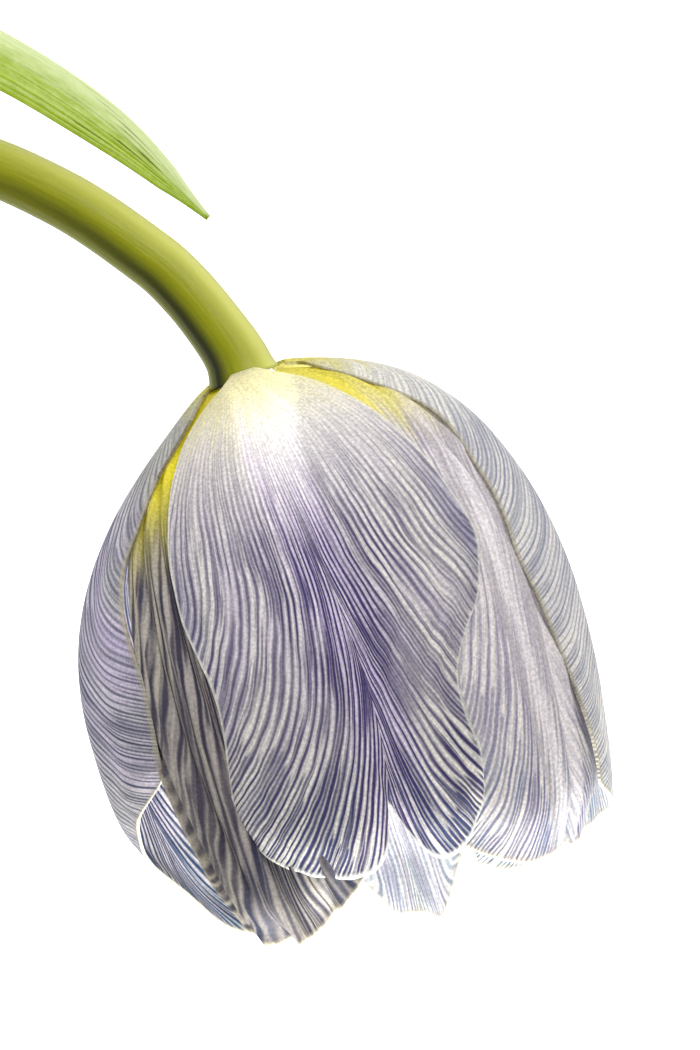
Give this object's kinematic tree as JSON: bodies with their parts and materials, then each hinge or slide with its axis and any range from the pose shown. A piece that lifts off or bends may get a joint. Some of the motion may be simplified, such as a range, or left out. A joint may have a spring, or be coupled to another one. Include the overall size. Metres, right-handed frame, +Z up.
{
  "type": "cut tulip",
  "caption": "Single-flowered tulip with veined petals, cut and lying on its side, with an arching stem and a clasping leaf.",
  "frame": {"origin": "middle of the bounding box in X and Y, on the surface that the flower lies on", "axes": "+Z up from the surface; the open end of the flower points towards -Y, turned 17 degrees towards +X; the arch of the stem is on the -X side; longest along X"},
  "size_m": [0.1425, 0.1201, 0.0602],
  "materials": {
    "petal": "soft satin, thin and slightly translucent, with dark lengthwise veins",
    "stem": "satin, waxy",
    "leaf": "satin, waxy bloom",
    "pistil": "satin",
    "filament": "satin",
    "anther": "powdery matte"
  },
  "bodies": {
    "root": {"petal_front": "petal", "petal_left": "petal", "petal_right": "petal", "petal_far_left": "petal", "petal_far_right": "petal", "petal_back": "petal", "stem": "stem", "leaf": "leaf", "pistil": "pistil", "filament_1": "filament", "filament_2": "filament", "filament_3": "filament", "filament_4": "filament", "filament_5": "filament", "filament_6": "filament", "anther_1": "anther", "anther_2": "anther", "anther_3": "anther", "anther_4": "anther", "anther_5": "anther", "anther_6": "anther"}
  },
  "joints": []
}
